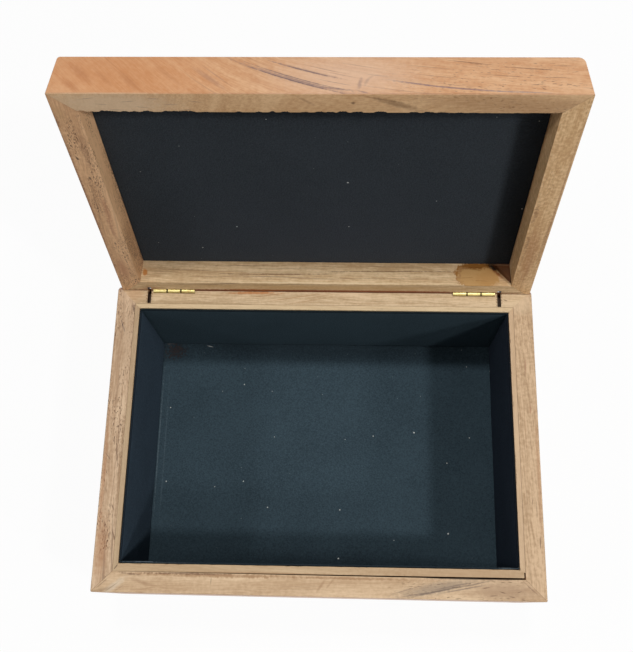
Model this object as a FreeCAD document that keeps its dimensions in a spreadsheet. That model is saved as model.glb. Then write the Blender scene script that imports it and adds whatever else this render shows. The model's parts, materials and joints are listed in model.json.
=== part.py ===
import FreeCAD, Part
import math
import os
import Sketcher

# Hinged wooden box, lid open. Millimetres, +Z up, +X to the right, +Y to the back.
# The origin is the middle of the underside. The base is drawn in that frame. The lid is drawn shut,
# about an origin on the hinge axis, and its Placement turns it open about that axis.

doc = FreeCAD.newDocument("inlaid_box")
sheet = doc.addObject("Spreadsheet::Sheet", "Sizes")

sizes = [
    # base carcass
    ("box_length", 250.0),
    ("box_depth", 178.0),
    ("base_height", 84.0),
    ("base_wall", 11.2),
    ("corner_radius", 0.8),
    ("edge_break", 0.6),
    ("floor_thickness", 5.5),
    ("floor_rebate", 5.0),
    ("wood_fit", 0.1),
    # liner boards inside the base; the front one is thicker, crooked and short at its right end
    ("liner_thickness", 2.8),
    ("front_liner_thickness", 4.2),
    ("liner_drop", 0.2),
    ("front_skew", 0.9),
    ("right_end_gap", 0.7),
    ("right_mitre_run", 1.6),
    # felt
    ("felt_thickness", 1.2),
    ("felt_fit", 0.1),
    ("felt_drop", 0.3),
    # lid
    ("lid_shortfall", 4.0),
    ("lid_shift", 0.9),
    ("lid_height", 22.8),
    ("lid_rail", 12.3),
    ("lid_lean", 2.0),
    ("lid_left_radius", 1.7),
    ("lid_right_radius", 3.5),
    ("lid_edge_break", 0.3),
    ("panel_thickness", 6.6),
    ("panel_rebate", 5.0),
    # chip broken out of the lid's inner back corner
    ("chip_length", 12.0),
    ("chip_depth", 3.0),
    ("chip_foot", 1.5),
    # hinge line: axis set in from the back face, both back edges bevelled to make the stop
    ("axis_inset", 3.0),
    ("open_angle", 102.0),
    ("closing_gap", 0.3),
    ("stop_gap", 0.3),
    # hinges
    ("hinge_inset", 34.5),
    ("hinge_length", 25.0),
    ("barrel_radius", 1.4),
    ("pin_radius", 0.6),
    ("pin_play", 0.05),
    ("pin_chamfer", 0.15),
    ("knuckle_gap", 0.4),
    ("leaf_thickness", 0.8),
    ("leaf_depth", 9.0),
    ("leaf_fit", 0.1),
    ("cove_play", 0.25),
    # saw kerfs at the outer end of each hinge
    ("kerf_offset", 15.0),
    ("kerf_width", 2.2),
    ("base_kerf_length", 8.0),
    ("base_kerf_depth", 5.0),
    ("lid_kerf_length", 3.5),
    ("lid_kerf_depth", 3.0),
    # inlay in the lid's outer face
    ("inlay_thickness", 1.2),
    ("inlay_fit", 0.05),
    ("border_inset", 14.0),
    ("border_width", 4.0),
    ("star_radius", 42.0),
    ("octagon_radius", 18.0),
    ("diamond_inset", 32.0),
    ("diamond_radius", 8.0),
    # how far a cutting outline runs past the wood
    ("overcut", 1.0),
]
for row, (alias, value) in enumerate(sizes, start=1):
    sheet.set("A%d" % row, alias)
    sheet.set("B%d" % row, str(value))
    sheet.setAlias("B%d" % row, alias)
doc.recompute()

# Lengths that follow from the sizes above
half_length = "(Sizes.box_length / 2)"
half_depth = "(Sizes.box_depth / 2)"
inner_half_length = "(Sizes.box_length / 2 - Sizes.base_wall)"
inner_half_depth = "(Sizes.box_depth / 2 - Sizes.base_wall)"
axis_y = "(Sizes.box_depth / 2 - Sizes.axis_inset)"
axis_z = "(Sizes.base_height + Sizes.closing_gap / 2)"
lid_half_length = "((Sizes.box_length - Sizes.lid_shortfall) / 2)"
lid_bottom = "(Sizes.closing_gap / 2)"
lid_top = "(Sizes.closing_gap / 2 + Sizes.lid_height)"
panel_bottom = "(%s - Sizes.panel_thickness)" % lid_top
panel_half_length = "(%s - Sizes.lid_rail + Sizes.panel_rebate)" % lid_half_length
panel_half_depth = "(Sizes.box_depth / 2 - Sizes.lid_rail + Sizes.panel_rebate)"
border_half_length = "(%s - Sizes.border_inset)" % panel_half_length
border_half_depth = "(%s - Sizes.border_inset)" % panel_half_depth
bevel = "(Sizes.open_angle / 2 * 1 deg)"
bevel_offset = "(Sizes.stop_gap / 2 / cos(%s))" % bevel
bore_radius = "(Sizes.pin_radius + Sizes.pin_play)"
middle_knuckle = "(Sizes.hinge_length / 6)"

# Where outlines are drawn from: the hinge axis, and the middle of the lid as it lies shut
middle = ("0", "0", "0")
base_axis = ("0", axis_y, axis_z)
lid_middle = ("Sizes.lid_shift", "-" + axis_y, "0")

nodes = []
hair = 1e-4


def start(label):
    body = doc.addObject("PartDesign::Body", label)
    body.Label = label
    nodes.append(body)
    return body


def origin_part(body, role):
    for part in body.Origin.OriginFeatures:
        if part.Role == role:
            return part


def raised(place, height):
    return (place[0], place[1], "%s + %s" % (place[2], height))


def attach(body, name, role, place):
    sketch = body.newObject("Sketcher::SketchObject", name)
    sketch.AttachmentSupport = [(origin_part(body, role), "")]
    sketch.MapMode = "FlatFace"
    x, y, z = place
    own_axes = {"XY_Plane": (x, y, z), "XZ_Plane": (x, z, "-(%s)" % y), "YZ_Plane": (y, z, x)}
    for letter, distance in zip("xyz", own_axes[role]):
        sketch.setExpression("AttachmentOffset.Base." + letter, distance)
    return sketch


# A sketch of closed straight-sided outlines, every corner held by two dimensions from the origin
def outline(body, name, role, place, loops):
    sketch = attach(body, name, role, place)
    for corners in loops:
        first = sketch.GeometryCount
        count = len(corners)
        turn = 2 * math.pi / count
        rough = [FreeCAD.Vector(math.cos(turn * i), math.sin(turn * i), 0) for i in range(count)]
        for i in range(count):
            sketch.addGeometry(Part.LineSegment(rough[i], rough[(i + 1) % count]))
        for i, corner in enumerate(corners):
            following = first + (i + 1) % count
            sketch.addConstraint(Sketcher.Constraint("Coincident", first + i, 2, following, 1))
            for kind, value, begin in zip(("DistanceX", "DistanceY"), corner, rough[i]):
                number = sketch.addConstraint(Sketcher.Constraint(kind, -1, 1, first + i, 1, begin))
                sketch.setExpression("Constraints[%d]" % number, value)
    return sketch


def feature(body, kind, name, sketch):
    made = body.newObject("PartDesign::" + kind, name)
    made.Profile = sketch
    sketch.Visibility = False
    return made


def pad(body, name, sketch, length, sides="One side"):
    made = feature(body, "Pad", name, sketch)
    made.SideType = sides
    made.setExpression("Length", length)


# A pocket cuts against the outline's normal unless it is reversed; with no depth it goes right through
def pocket(body, name, sketch, depth=None, reverse=False):
    made = feature(body, "Pocket", name, sketch)
    made.Reversed = reverse
    if depth:
        made.setExpression("Length", depth)
    else:
        made.SideType = "Symmetric"
        made.Type = "ThroughAll"


def turned(body, kind, name, sketch):
    made = feature(body, kind, name, sketch)
    made.ReferenceAxis = (sketch, ["H_Axis"])
    made.Angle = 360


def rectangle(x0, x1, y0, y1):
    return [(x0, y0), (x1, y0), (x1, y1), (x0, y1)]


def centred(half_x, half_y):
    return rectangle("-" + half_x, half_x, "-" + half_y, half_y)


def loose(half_x, half_y, fit):
    return centred("(%s - %s)" % (half_x, fit), "(%s - %s)" % (half_y, fit))


def slab(label, place, plan, height):
    body = start(label)
    pad(body, "slab", outline(body, "plan", "XY_Plane", place, [plan]), height)
    return body


# Sides of a mitred frame. A point is given along the side and outwards from the frame's middle.
directions = {"front": (1, 0, 0, -1), "back": (-1, 0, 0, 1), "left": (0, -1, -1, 0), "right": (0, 1, 1, 0)}


def on_side(side, along, out):
    ax, ox, ay, oy = directions[side]
    x = "%d * (%s) + %d * (%s)" % (ax, along, ox, out)
    y = "%d * (%s) + %d * (%s)" % (ay, along, oy, out)
    return (x, y)


def round_edges(body, name, edges, radius):
    solid = body.Tip
    fillet = body.newObject("PartDesign::Fillet", name)
    fillet.Base = (solid, edges)
    fillet.setExpression("Radius", radius)
    doc.recompute()


# Edges furthest out on one side: upright ones, or the long one at the top or at the bottom
outer_faces = {"front": ("y", min), "back": ("y", max), "left": ("x", min), "right": ("x", max)}


def outer_edges(body, side, which):
    letter, outermost = outer_faces[side]
    corners = [vertex.Point for vertex in body.Tip.Shape.Vertexes]
    low = min(corner.z for corner in corners)
    high = max(corner.z for corner in corners)
    heights = {"upright": {low, high}, "top": {high}, "bottom": {low}}[which]
    reach = {}
    for height in heights:
        level = [getattr(corner, letter) for corner in corners if abs(corner.z - height) < hair]
        reach[height] = outermost(level)
    found = []
    for number, edge in enumerate(body.Tip.Shape.Edges, start=1):
        reached = set()
        for end in (vertex.Point for vertex in edge.Vertexes):
            for height, level in reach.items():
                if abs(end.z - height) < hair and abs(getattr(end, letter) - level) < hair:
                    reached.add((height, end.x, end.y))
        if len(reached) == 2 and {height for height, x, y in reached} == heights:
            found.append("Edge%d" % number)
    return found


def round_outer(body, side, which, radius):
    round_edges(body, "%s_%s_edges" % (side, which), outer_edges(body, side, which), radius)


# One side of a mitred frame: a plank as long as the frame, shaped outside, then both ends cut away at
# 45 degrees, so that each piece keeps half of every rounded corner
def plank(label, side, place, half_run, out, thickness, height, shape_outside=None):
    body = start(label)
    inner = "(%s - %s)" % (out, thickness)
    corners = [("-" + half_run, out), (half_run, out), (half_run, inner), ("-" + half_run, inner)]
    plan = outline(body, "plan", "XY_Plane", place, [[on_side(side, *corner) for corner in corners]])
    pad(body, "plank", plan, height)
    doc.recompute()
    if shape_outside:
        shape_outside(body, side)
    loops = []
    for end in ("-1", "1"):
        far = "%s * (%s + Sizes.overcut)" % (end, half_run)
        near = "%s * (%s - %s - Sizes.overcut)" % (end, half_run, thickness)
        wide = "%s + Sizes.overcut" % out
        narrow = "%s - Sizes.overcut" % inner
        loops.append([on_side(side, *corner) for corner in ((far, wide), (far, narrow), (near, narrow))])
    pocket(body, "mitres", outline(body, "mitre_lines", "XY_Plane", place, loops))
    return body


def frame(prefix, suffix, place, half_x, half_y, thickness, height, shape_outside=None):
    made = {}
    for side in directions:
        half_run, out = (half_x, half_y) if side in ("front", "back") else (half_y, half_x)
        label = prefix + side + suffix
        made[side] = plank(label, side, place, half_run, out, thickness, height, shape_outside)
    return made


# The cuts along the hinge line are drawn about the axis: up is -1 in the base and 1 in the lid.
# Both back edges are bevelled right across the box, and the two bevels meet when the lid stands open.
behind_axis = "(Sizes.axis_inset + Sizes.overcut)"


def back_bevel(body, axis, up):
    start_y = "-(Sizes.overcut + %s) / tan(%s)" % (bevel_offset, bevel)
    end_z = "%d * (%s * tan(%s) + %s)" % (up, behind_axis, bevel, bevel_offset)
    level = "%d * Sizes.overcut" % -up
    wedge = [(start_y, level), (behind_axis, end_z), (behind_axis, level)]
    pocket(body, "back_bevel", outline(body, "bevel_line", "YZ_Plane", axis, [wedge]))


# Slots for the leaves, coves for the barrels and the saw kerfs beside them
def hinge_cuts(body, axis, up, kerf_length, kerf_depth):
    slots = []
    kerfs = []
    coves = []
    for side in ("-1", "1"):
        centre = "%s * (%s - Sizes.hinge_inset)" % (side, half_length)
        half_slot = "Sizes.hinge_length / 2 + Sizes.leaf_fit"
        half_leaf = "Sizes.leaf_thickness / 2 + Sizes.leaf_fit"
        slot = ("%s - (%s)" % (centre, half_slot), "%s + %s" % (centre, half_slot))
        slots.append(rectangle(*slot, "-(%s)" % half_leaf, half_leaf))
        coves.append(rectangle(*slot, "0", "Sizes.barrel_radius + Sizes.cove_play"))
        kerf_x = "%s + %s * Sizes.kerf_offset" % (centre, side)
        kerf = ("%s - Sizes.kerf_width / 2" % kerf_x, "%s + Sizes.kerf_width / 2" % kerf_x)
        kerfs.append(rectangle(*kerf, "-" + kerf_length, behind_axis))
    turned(body, "Groove", "barrel_coves", outline(body, "cove_lines", "XY_Plane", axis, coves))
    face = raised(axis, "%d * Sizes.closing_gap / 2" % up)
    leaf_slots = outline(body, "slot_lines", "XY_Plane", face, slots)
    pocket(body, "leaf_slots", leaf_slots, "Sizes.leaf_depth + Sizes.leaf_fit", up > 0)
    pocket(body, "saw_kerfs", outline(body, "kerf_lines", "XY_Plane", face, kerfs), kerf_depth, up > 0)


def open_lid(body, x="0"):
    body.Placement.Rotation = FreeCAD.Rotation(FreeCAD.Vector(1, 0, 0), -1)
    body.setExpression("Placement.Rotation.Angle", "-Sizes.open_angle * 1 deg")
    body.setExpression("Placement.Base.x", x)
    body.setExpression("Placement.Base.y", axis_y)
    body.setExpression("Placement.Base.z", axis_z)


# Base carcass: mitred walls with a rebate for the floor panel
def wall_outside(body, side):
    round_outer(body, side, "upright", "Sizes.corner_radius")
    round_outer(body, side, "top", "Sizes.edge_break")
    round_outer(body, side, "bottom", "Sizes.edge_break")


wall_sizes = (half_length, half_depth, "Sizes.base_wall", "Sizes.base_height")
walls = frame("base_", "_wall", middle, *wall_sizes, wall_outside)
rebate_half_length = "(%s + Sizes.floor_rebate)" % inner_half_length
rebate_half_depth = "(%s + Sizes.floor_rebate)" % inner_half_depth
rebate_plan = centred(rebate_half_length, rebate_half_depth)
for wall in walls.values():
    rebate = outline(wall, "rebate_line", "XY_Plane", middle, [rebate_plan])
    pocket(wall, "floor_rebate", rebate, "Sizes.floor_thickness", True)

for side in ("back", "left", "right"):
    back_bevel(walls[side], base_axis, -1)
hinge_cuts(walls["back"], base_axis, -1, "Sizes.base_kerf_length", "Sizes.base_kerf_depth")

floor_plan = loose(rebate_half_length, rebate_half_depth, "Sizes.wood_fit")
slab("base_floor_panel", middle, floor_plan, "Sizes.floor_thickness")


# Corners of the space inside the walls, from the front left one round to the back left one, drawn in by an
# inset that differs at the front. The front edge slants, because the front liner board stands crooked.
def inside(inset, front_inset):
    half_x = "(%s - Sizes.wood_fit - (%s))" % (inner_half_length, inset)
    back = "(%s - Sizes.wood_fit - (%s))" % (inner_half_depth, inset)
    front = "(Sizes.wood_fit + %s - %s)" % (front_inset, inner_half_depth)
    slanted = "(%s + Sizes.front_skew)" % front
    return [("-" + half_x, front), (half_x, slanted), (half_x, back), ("-" + half_x, back)]


# Plans of the four pieces between an outer and an inner ring of corners, mitred where they meet
def mitred(outer, inner):
    plans = {}
    for i, side in enumerate(("front", "right", "back", "left")):
        after = (i + 1) % 4
        plans[side] = [outer[i], outer[after], inner[after], inner[i]]
    return plans


# Liner boards stand on the floor panel. The front one stops short of the right wall, and the right one is
# mitred to its inner corner only.
wall_face = inside("0", "0")
liner_face = inside("Sizes.liner_thickness", "Sizes.front_liner_thickness")
liner_plans = mitred(wall_face, liner_face)
right_x, front_y = wall_face[1]
mitre_y = liner_face[1][1]
short_x = "(%s - Sizes.right_end_gap)" % right_x
mitred_share = "(1 - Sizes.right_end_gap / Sizes.liner_thickness)"
short_y = "%s - Sizes.right_mitre_run * %s" % (mitre_y, mitred_share)
liner_plans["front"][1:2] = [(short_x, front_y), (short_x, short_y)]
liner_plans["right"][0] = (right_x, "%s - Sizes.right_mitre_run" % mitre_y)
on_floor = raised(middle, "Sizes.floor_thickness")
liner_height = "Sizes.base_height - Sizes.floor_thickness - Sizes.liner_drop"
for side, plan in liner_plans.items():
    slab("liner_" + side, on_floor, plan, liner_height)

# Felt on the floor and on the four liner boards
behind = "Sizes.felt_fit"
before = "Sizes.felt_fit + Sizes.felt_thickness"
felt_back, felt_face = [
    inside("Sizes.liner_thickness + " + depth, "Sizes.front_liner_thickness + " + depth)
    for depth in (behind, before)
]
slab("felt_floor", on_floor, felt_back, "Sizes.felt_thickness")
on_felt = raised(on_floor, "Sizes.felt_thickness + Sizes.felt_fit")
felt_height = "%s - Sizes.felt_thickness - Sizes.felt_fit - Sizes.felt_drop" % liner_height
for side, plan in mitred(felt_back, felt_face).items():
    slab("felt_" + side, on_felt, plan, felt_height)

# Lid frame: mitred rails with a rebate for the top panel. The lid's two ends lean in towards the top and
# are rounded over there, the right one more, while its long edges are only broken.
on_rim = raised(lid_middle, lid_bottom)
on_lid = raised(lid_middle, lid_top)
end_radii = {"left": "Sizes.lid_left_radius", "right": "Sizes.lid_right_radius"}


def rail_outside(body, side):
    loops = []
    above = "Sizes.lid_height + Sizes.overcut"
    for end in ("-1", "1"):
        foot = "%s * %s" % (end, lid_half_length)
        far = "%s * (%s + Sizes.overcut)" % (end, lid_half_length)
        head = "%s - %s * Sizes.lid_lean * (%s) / Sizes.lid_height" % (foot, end, above)
        loops.append([(foot, "0"), (far, "0"), (far, above), (head, above)])
    pocket(body, "leaning_ends", outline(body, "end_lines", "XZ_Plane", on_rim, loops))
    doc.recompute()
    ends, long_sides = [side], ["front", "back"]
    if side in long_sides:
        ends, long_sides = ["left", "right"], [side]
    for end in ends:
        round_outer(body, end, "top", end_radii[end])
    for long_side in long_sides:
        round_outer(body, long_side, "top", "Sizes.edge_break")
    round_outer(body, side, "bottom", "Sizes.lid_edge_break")


rail_sizes = (lid_half_length, half_depth, "Sizes.lid_rail", "Sizes.lid_height")
rails = frame("lid_", "_rail", on_rim, *rail_sizes, rail_outside)
rebate_plan = centred(panel_half_length, panel_half_depth)
for rail in rails.values():
    rebate = outline(rail, "rebate_line", "XY_Plane", on_lid, [rebate_plan])
    pocket(rail, "panel_rebate", rebate, "Sizes.panel_thickness")
for side in ("back", "left", "right"):
    back_bevel(rails[side], middle, 1)
hinge_cuts(rails["back"], middle, 1, "Sizes.lid_kerf_length", "Sizes.lid_kerf_depth")

# A chip has broken out of the back rail's inner face, at its right end
inner_corner = "(%s - Sizes.lid_rail)" % lid_half_length
chip_far = inner_corner + " + Sizes.chip_depth + Sizes.overcut"
chip_top = "Sizes.lid_height - Sizes.panel_thickness"
chip = [
    (inner_corner, "Sizes.chip_foot"),
    (chip_far, "Sizes.chip_foot"),
    (chip_far, chip_top),
    (inner_corner + " - Sizes.chip_length", chip_top),
]
inner_face = ("Sizes.lid_shift", "Sizes.axis_inset - Sizes.lid_rail", lid_bottom)
chip_line = outline(rails["back"], "chip_line", "XZ_Plane", inner_face, [chip])
pocket(rails["back"], "broken_corner", chip_line, "Sizes.chip_depth")

# Top panel, with recesses for the inlay
panel_plan = loose(panel_half_length, panel_half_depth, "Sizes.wood_fit")
panel = slab("lid_top_panel", raised(lid_middle, panel_bottom), panel_plan, "Sizes.panel_thickness")


def ring(count, radii, first):
    points = []
    for i in range(count):
        radius = radii[i % len(radii)]
        angle = "(%g deg)" % (first + 360.0 * i / count)
        points.append(("%s * cos(%s)" % (radius, angle), "%s * sin(%s)" % (radius, angle)))
    return points


# Eight-pointed star: the outline of two crossed squares, point to point star_radius
def star(grow):
    tip = "(Sizes.star_radius + %s)" % grow
    notch = "(%s * cos(45 deg) / cos(22.5 deg))" % tip
    return ring(16, [tip, notch], 0)


def octagon(grow):
    return ring(8, ["(Sizes.octagon_radius + %s)" % grow], 22.5)


def diamonds(grow):
    loops = []
    for sx in (-1, 1):
        for sy in (-1, 1):
            x = "%d * (%s - Sizes.diamond_inset)" % (sx, panel_half_length)
            y = "%d * (%s - Sizes.diamond_inset)" % (sy, panel_half_depth)
            around = ring(4, ["(Sizes.diamond_radius + %s)" % grow], 0)
            loops.append([("%s + %s" % (x, px), "%s + %s" % (y, py)) for px, py in around])
    return loops


inside_border = loose(border_half_length, border_half_depth, "Sizes.border_width")
recesses = {
    "border": [centred(border_half_length, border_half_depth), inside_border],
    "star": [star("0")],
    "diamond": diamonds("0"),
}
for name, loops in recesses.items():
    lines = outline(panel, name + "_lines", "XY_Plane", on_lid, loops)
    pocket(panel, name + "_recess", lines, "Sizes.inlay_thickness")

inlay_bed = raised(lid_middle, "%s - Sizes.inlay_thickness" % lid_top)
strip_half_length = "(%s - Sizes.inlay_fit)" % border_half_length
strip_half_depth = "(%s - Sizes.inlay_fit)" % border_half_depth
strip_width = "(Sizes.border_width - 2 * Sizes.inlay_fit)"
strip_sizes = (strip_half_length, strip_half_depth, strip_width, "Sizes.inlay_thickness")
frame("inlay_border_", "", inlay_bed, *strip_sizes)
inlays = {
    "inlay_star": [star("-Sizes.inlay_fit"), octagon("Sizes.inlay_fit")],
    "inlay_octagon": [octagon("0")],
    "inlay_corner_diamonds": diamonds("-Sizes.inlay_fit"),
}
for label, loops in inlays.items():
    inlay = start(label)
    pad(inlay, "veneer", outline(inlay, "plan", "XY_Plane", inlay_bed, loops), "Sizes.inlay_thickness")

# Felt on the inside of the top panel, between the rails
lid_felt_half_length = "(%s - Sizes.lid_rail - Sizes.felt_fit)" % lid_half_length
lid_felt_half_depth = "(Sizes.box_depth / 2 - Sizes.lid_rail - Sizes.felt_fit)"
felt_bed = raised(lid_middle, "%s - Sizes.felt_thickness" % panel_bottom)
slab("lid_felt", felt_bed, centred(lid_felt_half_length, lid_felt_half_depth), "Sizes.felt_thickness")

for body in nodes:
    if body.Label.startswith(("lid_", "inlay_")):
        open_lid(body)


# Hinges. The base leaf carries the two outer knuckles and the lid leaf the middle one. Each leaf stands
# in its slot, upright as the lid lies shut, and steps back from the knuckle that is not its own.
def leaf(label, up, own):
    body = start(label)
    end = "Sizes.hinge_length / 2"
    tip = "%d * Sizes.leaf_depth" % up
    root = "%d * (%s + Sizes.barrel_radius) / 2" % (up, bore_radius)
    clear = "%d * (Sizes.barrel_radius + Sizes.cove_play)" % up
    edge = "%s %s Sizes.knuckle_gap / 2" % (middle_knuckle, "+" if own == "outer" else "-")
    at_end, at_middle = (root, clear) if own == "outer" else (clear, root)
    plate = [("-" + end, tip), (end, tip), (end, at_end), (edge, at_end), (edge, at_middle)]
    plate += [("-(%s)" % edge, at_middle), ("-(%s)" % edge, at_end), ("-" + end, at_end)]
    lines = outline(body, "plate_line", "XZ_Plane", middle, [plate])
    pad(body, "plate", lines, "Sizes.leaf_thickness", "Symmetric")
    spans = [("-" + end, "-(%s)" % edge), (edge, end)] if own == "outer" else [("-(%s)" % edge, edge)]
    walls_of_tube = [rectangle(x0, x1, bore_radius, "Sizes.barrel_radius") for x0, x1 in spans]
    turned(body, "Revolution", "knuckles", outline(body, "knuckle_lines", "XY_Plane", middle, walls_of_tube))
    return body


for hand, sign in (("left", "-"), ("right", "")):
    hinge_x = "%s(%s - Sizes.hinge_inset)" % (sign, half_length)
    base_leaf = leaf(hand + "_hinge_base_leaf", -1, "outer")
    lid_leaf = leaf(hand + "_hinge_lid_leaf", 1, "inner")
    pin = start(hand + "_hinge_pin")
    half_pin = "Sizes.hinge_length / 2"
    flat = "Sizes.pin_radius - Sizes.pin_chamfer"
    shoulder = half_pin + " - Sizes.pin_chamfer"
    profile = [("-" + half_pin, "0"), (half_pin, "0"), (half_pin, flat), (shoulder, "Sizes.pin_radius")]
    profile += [("-(%s)" % shoulder, "Sizes.pin_radius"), ("-" + half_pin, flat)]
    turned(pin, "Revolution", "pin", outline(pin, "pin_line", "XY_Plane", middle, [profile]))
    for body in (base_leaf, pin):
        for letter, distance in zip("xyz", (hinge_x, axis_y, axis_z)):
            body.setExpression("Placement.Base." + letter, distance)
    open_lid(lid_leaf, hinge_x)

doc.recompute()

for item in doc.Objects:
    if "Invalid" in item.State or "Error" in item.State:
        raise RuntimeError("%s is not built: %s" % (item.Label, item.State))
for body in nodes:
    if body.Shape.isNull() or not body.Shape.isValid():
        raise RuntimeError("%s has no valid shape" % body.Label)

os.makedirs("parts", exist_ok=True)
for body in nodes:
    body.Shape.exportStep(os.path.join("parts", body.Label + ".step"))
    print("%-24s %d solid(s) %10.2f mm3" % (body.Label, len(body.Shape.Solids), body.Shape.Volume))
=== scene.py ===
import bpy
import json
import math
import random
from mathutils import Matrix, Vector, noise


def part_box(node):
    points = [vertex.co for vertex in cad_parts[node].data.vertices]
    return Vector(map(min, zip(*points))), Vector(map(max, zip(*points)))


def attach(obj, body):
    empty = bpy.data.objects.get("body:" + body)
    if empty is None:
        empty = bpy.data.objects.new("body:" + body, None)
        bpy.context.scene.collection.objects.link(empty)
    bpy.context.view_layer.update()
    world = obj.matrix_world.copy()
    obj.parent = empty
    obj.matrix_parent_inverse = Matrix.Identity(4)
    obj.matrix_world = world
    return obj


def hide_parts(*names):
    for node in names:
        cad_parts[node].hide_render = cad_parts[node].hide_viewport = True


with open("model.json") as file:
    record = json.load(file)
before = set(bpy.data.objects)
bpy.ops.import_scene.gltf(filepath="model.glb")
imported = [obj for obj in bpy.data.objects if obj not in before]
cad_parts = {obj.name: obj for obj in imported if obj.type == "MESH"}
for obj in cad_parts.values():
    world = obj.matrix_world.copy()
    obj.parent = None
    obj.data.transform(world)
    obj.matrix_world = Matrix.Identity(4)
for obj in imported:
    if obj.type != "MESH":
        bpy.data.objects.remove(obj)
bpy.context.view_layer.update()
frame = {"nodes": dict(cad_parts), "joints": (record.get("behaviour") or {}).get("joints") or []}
print("frame loaded:", len(frame["nodes"]), "nodes")

scene = bpy.context.scene
scene.view_settings.view_transform = "Standard"

# The lid hangs on one hinge line. Its pieces are described as the lid lies shut, measured from that line.
hinge = frame["joints"][0]
hingePoint = Vector(hinge["pos_m"])
openAngle = math.radians(hinge["range_deg"][1])
toShut = Matrix.Rotation(openAngle, 4, "X") @ Matrix.Translation(-hingePoint)
perMetre = 1000.0


# Box round some nodes in millimetres: base nodes as they stand, lid nodes as they lie shut
def boxOf(nodes, onLid=False):
    points = [vert.co for node in nodes for vert in frame["nodes"][node].data.vertices]
    if onLid:
        points = [toShut @ point for point in points]
    low = Vector([min(point[i] for point in points) for i in range(3)]) * perMetre
    high = Vector([max(point[i] for point in points) for i in range(3)]) * perMetre
    return low, high


sides = ("front", "back", "left", "right")
baseHigh = boxOf(["base_%s_wall" % side for side in sides])[1]
lidLow, lidHigh = boxOf(["lid_%s_rail" % side for side in sides], True)
lidFeltLow, lidFeltHigh = boxOf(["lid_felt"], True)
lidMiddle = (lidLow + lidHigh) / 2
feltMiddle = (lidFeltLow + lidFeltHigh) / 2


# A colour by its red, green and blue from 0 to 255, made linear
def tone(red, green, blue):
    def linear(value):
        value = value / 255
        return value / 12.92 if value <= 0.04045 else ((value + 0.055) / 1.055) ** 2.4
    return (linear(red), linear(green), linear(blue), 1.0)


# One socket of a material. Sums on sockets add Math nodes, and node() adds any other kind.
class Wire:
    def __init__(self, tree, socket=None):
        self.tree = tree
        self.socket = socket

    def node(self, kind, settings, inputs, out=0):
        made = self.tree.nodes.new("ShaderNode" + kind)
        for key, value in settings.items():
            setattr(made, key, value)
        for key, value in inputs.items():
            if isinstance(value, Wire):
                self.tree.links.new(value.socket, made.inputs[key])
            else:
                made.inputs[key].default_value = value
        return Wire(self.tree, made.outputs[out])

    def maths(self, operation, first, second=0.0):
        return self.node("Math", {"operation": operation}, {0: first, 1: second})

    def __add__(self, other):
        return self.maths("ADD", self, other)

    def __radd__(self, other):
        return self.maths("ADD", other, self)

    def __sub__(self, other):
        return self.maths("SUBTRACT", self, other)

    def __rsub__(self, other):
        return self.maths("SUBTRACT", other, self)

    def __mul__(self, other):
        return self.maths("MULTIPLY", self, other)

    def __rmul__(self, other):
        return self.maths("MULTIPLY", other, self)

    def __abs__(self):
        return self.maths("ABSOLUTE", self)

    def root(self):
        return self.maths("SQRT", self)

    def least(self, other):
        return self.maths("MINIMUM", self, other)

    def most(self, other):
        return self.maths("MAXIMUM", self, other)

    # 0 at low and 1 at high, smooth between them; low may be the larger
    def step(self, low, high):
        ends = {"Value": self, "From Min": low, "From Max": high}
        return self.node("MapRange", {"interpolation_type": "SMOOTHSTEP"}, ends)

    def between(self, low, high, soft):
        return self.step(low - soft, low) * self.step(high + soft, high)

    def blend(self, first, second):
        return self.node("Mix", {"data_type": "RGBA"}, {0: self, 6: first, 7: second}, 2)

    def vector(self, x, y, z):
        return self.node("CombineXYZ", {}, {0: x, 1: y, 2: z})

    # cloudy noise over a point, from 0 to 1 about a half
    def cloud(self, x, y, z, detail=2.0, rough=0.5):
        point = self.vector(x, y, z)
        return self.node("TexNoise", {}, {"Vector": point, "Scale": 1.0, "Detail": detail, "Roughness": rough})


# A material, its shader and the place on the surface in millimetres, as it lies shut for lid pieces
def newMaterial(name, onLid=False):
    made = bpy.data.materials.new(name)
    made.use_nodes = True
    tree = made.node_tree
    wire = Wire(tree)
    place = wire.node("TexCoord", {}, {}, "Object")
    shift = toShut.translation * perMetre if onLid else Vector((0, 0, 0))
    turn = openAngle if onLid else 0.0
    sums = {"Vector": place, "Location": shift, "Rotation": (turn, 0, 0), "Scale": (perMetre,) * 3}
    place = wire.node("Mapping", {"vector_type": "POINT"}, sums)
    axes = [wire.node("SeparateXYZ", {}, {0: place}, axis) for axis in range(3)]
    return made, tree.nodes["Principled BSDF"], wire, axes


def feed(wire, shader, name, value):
    wire.tree.links.new(value.socket, shader.inputs[name])


def bump(wire, shader, height, distance, strength):
    lifted = wire.node("Bump", {}, {"Height": height, "Distance": distance, "Strength": strength})
    feed(wire, shader, "Normal", lifted)


def dress(node, material):
    slots = frame["nodes"][node].data.materials
    slots.clear()
    slots.append(material)


# Tints of the marks that use and making have left; the brown lines and the black one also serve as painted shade in
# a joint and in slots, where noted
greyLine = tone(98, 84, 80)
brownLine = tone(92, 64, 44)
shadeBrown = tone(150, 112, 76)
tornWood = tone(124, 80, 52)
greyVein = tone(104, 88, 76)
knotBrown = tone(64, 44, 32)
greyStreak = tone(124, 100, 94)
veinPale = tone(128, 96, 70)
veinBrown = tone(112, 80, 56)
blackSpotAndKerfShade = tone(38, 30, 26)


# A mark is an oval on two of the axes, in millimetres: half length and half width, turned in degrees,
# bowed sideways in its middle, and kept to a layer of the third axis if within is given
def mark(plane, at, size, turn=0.0, tint=brownLine, strength=0.6, soft=0.7, bow=0.0, fray=0.5, within=None):
    return {"plane": plane, "at": at, "size": size, "turn": turn, "tint": tint, "strength": strength,
            "soft": soft, "bow": bow, "fray": fray, "within": within}


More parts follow.
